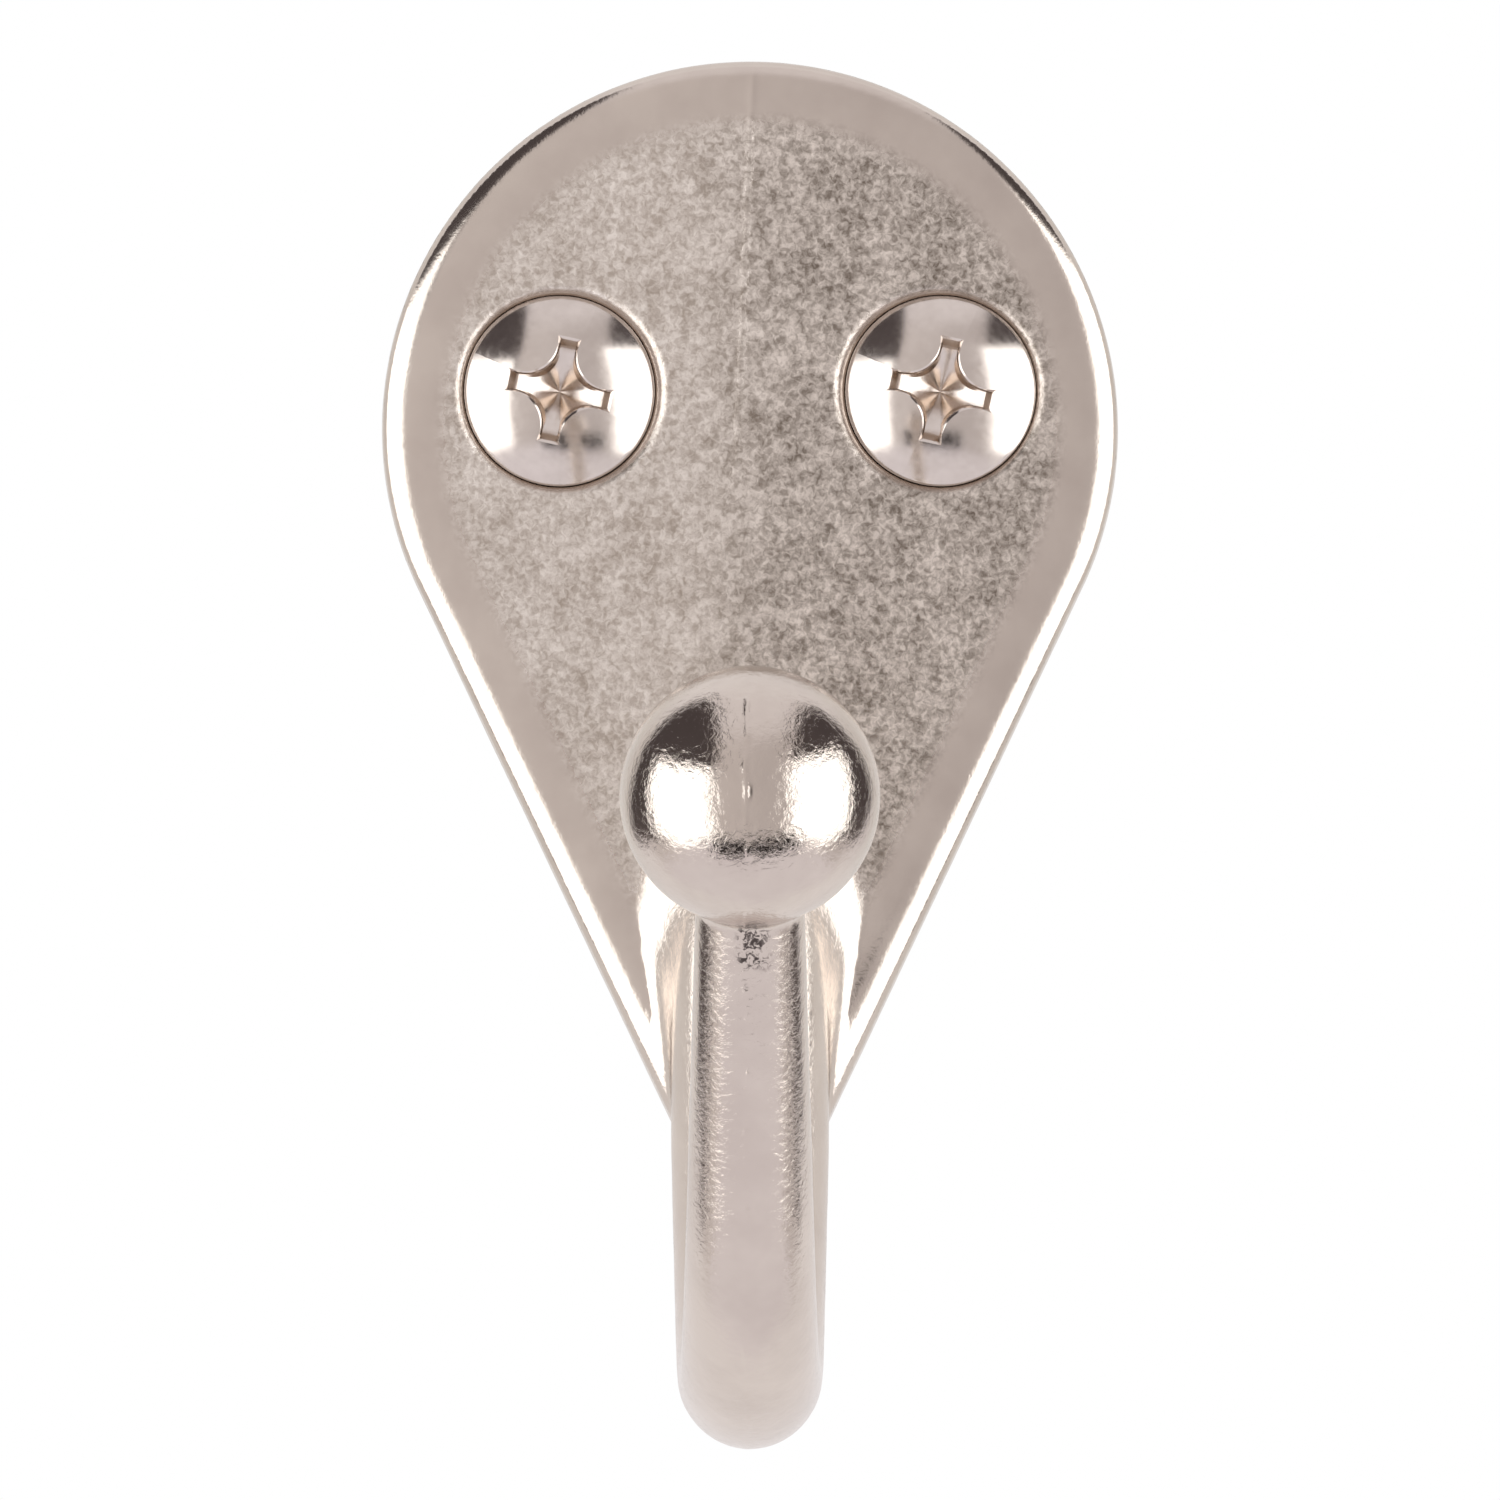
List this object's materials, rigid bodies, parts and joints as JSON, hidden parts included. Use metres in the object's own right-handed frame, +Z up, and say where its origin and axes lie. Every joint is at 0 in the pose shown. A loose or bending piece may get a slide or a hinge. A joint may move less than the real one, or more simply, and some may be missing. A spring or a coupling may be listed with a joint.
{
  "type": "garment hook",
  "caption": "Small cast wall hook: teardrop plate with two countersunk screws and one round J-shaped prong ending in a ball.",
  "frame": {"origin": "on the flat back of the plate, midway between the axes of the two screws", "axes": "+Z up the wall, towards the round top of the plate; +Y into the wall, out of the back of the plate; the prong comes forward along -Y; +X to the right seen from the front"},
  "size_m": [0.03, 0.0548, 0.0555],
  "materials": {
    "cast_nickel": "satin",
    "screw_nickel": "polished"
  },
  "bodies": {
    "root": {"hook": "cast_nickel", "mounting_screws": "screw_nickel"}
  },
  "joints": []
}
